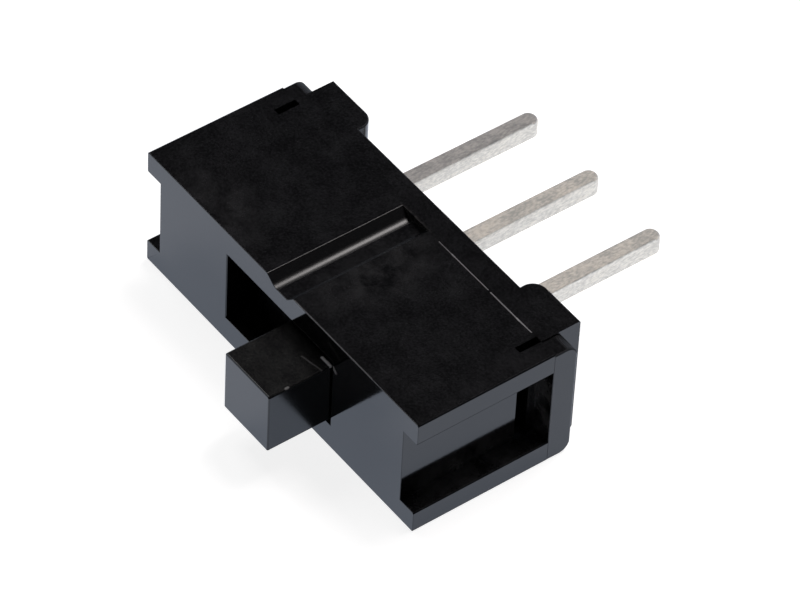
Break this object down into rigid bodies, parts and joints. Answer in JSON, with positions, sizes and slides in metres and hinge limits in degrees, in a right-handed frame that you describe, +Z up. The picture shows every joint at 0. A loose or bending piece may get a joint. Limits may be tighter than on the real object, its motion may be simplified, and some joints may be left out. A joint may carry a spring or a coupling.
{
  "type": "slide switch",
  "caption": "Miniature slide switch for a circuit board: a black box with I-shaped ends, a square knob that slides in a slot, and a row of straight round-tipped terminals.",
  "frame": {"origin": "on the middle terminal's axis, in the plane where the feet seat on a circuit board", "axes": "+Y out along the terminals, +X along the body towards the end where the knob stands, +Z up through the thickness, because the switch lies on its flat side"},
  "size_m": [0.0112, 0.0117, 0.0038],
  "materials": {
    "housing_plastic": "black moulded plastic with a polished tool finish",
    "base_plastic": "black moulded plastic with a polished tool finish",
    "slider_plastic": "black moulded plastic with a fine satin gloss",
    "terminal_tin": "stamped strip with dull tin plating",
    "clip_bronze": "bright rolled spring strip"
  },
  "bodies": {
    "body": {"housing": "housing_plastic", "base": "base_plastic", "terminal_left": "terminal_tin", "terminal_middle": "terminal_tin", "terminal_right": "terminal_tin"},
    "slide": {"slider": "slider_plastic", "contact_clip": "clip_bronze"}
  },
  "joints": [
    {"name": "slider_travel", "type": "slide", "parent": "body", "child": "slide", "axis": [1, 0, 0], "range_m": [-0.0025, 0]}
  ]
}
